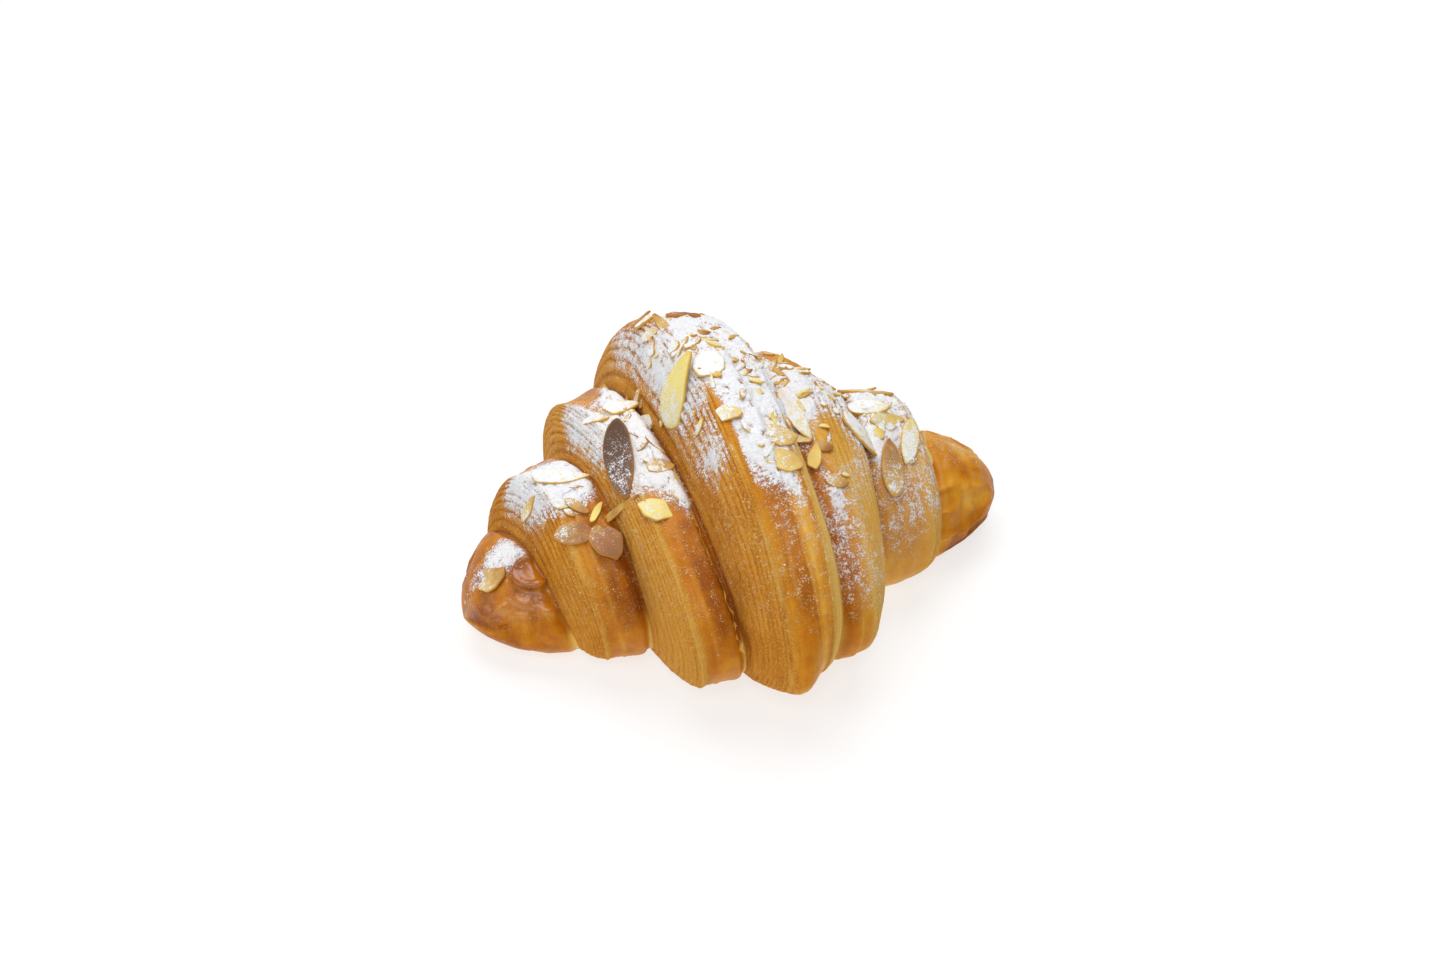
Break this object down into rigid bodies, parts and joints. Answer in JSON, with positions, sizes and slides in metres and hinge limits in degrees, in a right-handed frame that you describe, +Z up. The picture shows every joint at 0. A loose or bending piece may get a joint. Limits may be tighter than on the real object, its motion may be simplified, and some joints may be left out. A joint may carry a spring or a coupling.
{
  "type": "almond croissant",
  "caption": "Plump baked croissant of rolled layered dough with stepped turns and rounded ends, flat underneath and topped with flaked almonds.",
  "frame": {"origin": "middle of the croissant's box, on the flat face it rests on", "axes": "+X along the roll towards its right end as seen from the front, -Y towards the front where the tail of the dough ends, +Z up"},
  "size_m": [0.144, 0.122, 0.0735],
  "materials": {
    "crust": "golden brown baked crust, glossy on the crowns and rough on the cut layers, with almond slices and icing sugar"
  },
  "bodies": {
    "root": {"croissant": "crust"}
  },
  "joints": []
}
